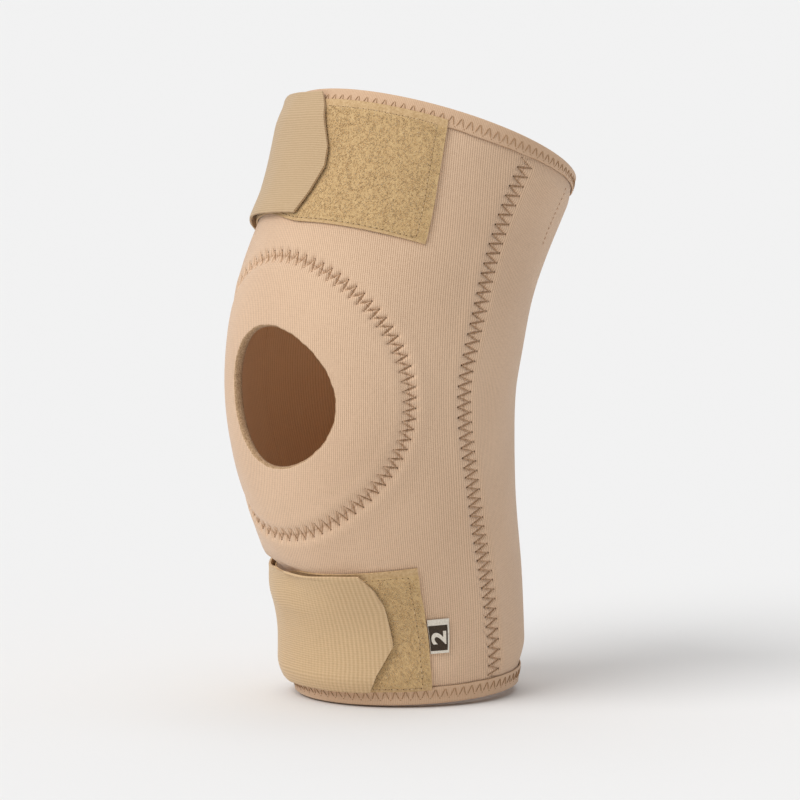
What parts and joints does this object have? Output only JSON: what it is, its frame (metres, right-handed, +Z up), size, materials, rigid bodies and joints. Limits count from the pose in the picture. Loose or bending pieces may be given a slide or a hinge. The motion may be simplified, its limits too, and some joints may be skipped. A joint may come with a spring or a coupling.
{
  "type": "open patella knee sleeve",
  "caption": "Padded stretch knee sleeve with an open kneecap ring, bound edges and elastic straps that fasten on loop patches.",
  "frame": {"origin": "on the leg's axis, level with the middle of the kneecap hole", "axes": "+Z up the leg to the thigh opening, -Y where the kneecap looks, +X the side of the straps' free ends and the size label"},
  "size_m": [0.1271, 0.1635, 0.2662],
  "materials": {
    "laminate": "beige jersey knit over foam rubber, brown lining inside, matt",
    "binding_tape": "folded beige knit tape with zigzag stitching, matt",
    "loop_pile": "fine tan loop pile with a plain selvedge, matt",
    "elastic": "tan woven elastic with fine ribs, matt",
    "hooks": "moulded tan hooks on a thin tape",
    "label_cloth": "white woven tag with a dark printed field"
  },
  "bodies": {
    "root": {"front_panel": "laminate", "back_panel": "laminate", "patella_ring": "laminate", "top_binding": "binding_tape", "bottom_binding": "binding_tape", "upper_loop_patch": "loop_pile", "lower_loop_patch": "loop_pile", "upper_strap": "elastic", "lower_strap": "elastic", "upper_hook_tab": "hooks", "lower_hook_tab": "hooks", "size_label": "label_cloth"}
  },
  "joints": []
}
